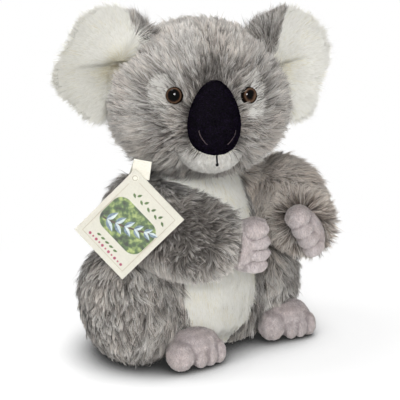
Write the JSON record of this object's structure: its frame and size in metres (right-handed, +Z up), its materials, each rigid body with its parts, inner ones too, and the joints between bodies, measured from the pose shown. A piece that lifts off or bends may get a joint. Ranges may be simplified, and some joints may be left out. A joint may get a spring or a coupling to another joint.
{
  "type": "plush koala",
  "caption": "Sitting stuffed koala with long grey pile, white chest and ear fronts, velour paws, domed eyes, a turning head, soft limbs and a folded hang tag.",
  "frame": {"origin": "middle of the flat seat panel that the toy sits on", "axes": "body faces -Y, its left side is +X, +Z up"},
  "size_m": [0.1758, 0.1171, 0.2186],
  "materials": {
    "grey_plush": "long pile, mottled grey",
    "white_plush": "long pile, warm white",
    "velour": "short pile, pinkish grey",
    "suede": "short nap, near black",
    "eye": "clear dome over amber and black",
    "filling": "loose polyester fibre",
    "pellets": "plain woven bag of pellets",
    "washer": "natural nylon",
    "ribbon": "woven satin ribbon",
    "card": "coated printed card"
  },
  "bodies": {
    "body": {"torso_skin": "grey_plush", "chest_panel": "white_plush", "torso_filling": "filling", "pellet_bag": "pellets", "seat_panel": "grey_plush"},
    "head": {"head_skin": "grey_plush", "head_filling": "filling", "muzzle": "white_plush", "nose": "suede", "eye_right": "eye", "eye_patch_right": "white_plush", "eye_washer_right": "washer", "eye_left": "eye", "eye_patch_left": "white_plush", "eye_washer_left": "washer"},
    "ear_right": {"ear_back_right": "grey_plush", "ear_front_right": "white_plush"},
    "ear_left": {"ear_back_left": "grey_plush", "ear_front_left": "white_plush"},
    "arm_right": {"arm_skin_right": "grey_plush", "arm_filling_right": "filling", "hand_right": "velour", "label_loop": "ribbon", "tag_pin": "washer"},
    "arm_left": {"arm_skin_left": "grey_plush", "arm_filling_left": "filling", "hand_left": "velour"},
    "leg_right": {"leg_skin_right": "grey_plush", "leg_filling_right": "filling", "foot_right": "velour"},
    "leg_left": {"leg_skin_left": "grey_plush", "leg_filling_left": "filling", "foot_left": "velour"},
    "tag": {"tag_back_leaf": "card"},
    "tag_cover": {"tag_front_leaf": "card"}
  },
  "joints": [
    {"name": "head_turn", "type": "hinge", "parent": "body", "child": "head", "pos_m": [-0.001, 0.002, 0.1235], "axis": [0, 0, 1], "range_deg": [-15, 15], "stiffness_Nm_per_rad": 0.3},
    {"name": "ear_right_bend", "type": "hinge", "parent": "head", "child": "ear_right", "pos_m": [-0.03911, 0.0137, 0.18238], "axis": [0.4219, -0.1453, 0.8949], "range_deg": [-15, 15], "stiffness_Nm_per_rad": 0.03},
    {"name": "ear_left_bend", "type": "hinge", "parent": "head", "child": "ear_left", "pos_m": [0.04307, -0.0146, 0.17859], "axis": [-0.3465, 0.1193, 0.9304], "range_deg": [-15, 15], "stiffness_Nm_per_rad": 0.03},
    {"name": "arm_right_open", "type": "hinge", "parent": "body", "child": "arm_right", "pos_m": [-0.04, 0.002, 0.096], "axis": [0, 0, -1], "range_deg": [0, 30], "stiffness_Nm_per_rad": 0.08},
    {"name": "arm_left_open", "type": "hinge", "parent": "body", "child": "arm_left", "pos_m": [0.046, 0.006, 0.094], "axis": [0, 0, 1], "range_deg": [0, 30], "stiffness_Nm_per_rad": 0.08},
    {"name": "leg_right_splay", "type": "hinge", "parent": "body", "child": "leg_right", "pos_m": [-0.042, 0.018, 0.03], "axis": [0, 0, -1], "range_deg": [0, 15], "stiffness_Nm_per_rad": 0.1},
    {"name": "leg_left_splay", "type": "hinge", "parent": "body", "child": "leg_left", "pos_m": [0.043, 0.022, 0.03], "axis": [0, 0, 1], "range_deg": [0, 15], "stiffness_Nm_per_rad": 0.1},
    {"name": "tag_swing", "type": "hinge", "parent": "arm_right", "child": "tag", "pos_m": [-0.05824, -0.03253, 0.12749], "axis": [-0.648, -0.7454, 0.1564], "range_deg": [-12, 12]},
    {"name": "tag_cover_open", "type": "hinge", "parent": "tag", "child": "tag_cover", "pos_m": [-0.0578, -0.0318, 0.1328], "axis": [-0.4768, 0.5572, 0.6799], "range_deg": [0, 80], "stiffness_Nm_per_rad": 0.0005}
  ]
}
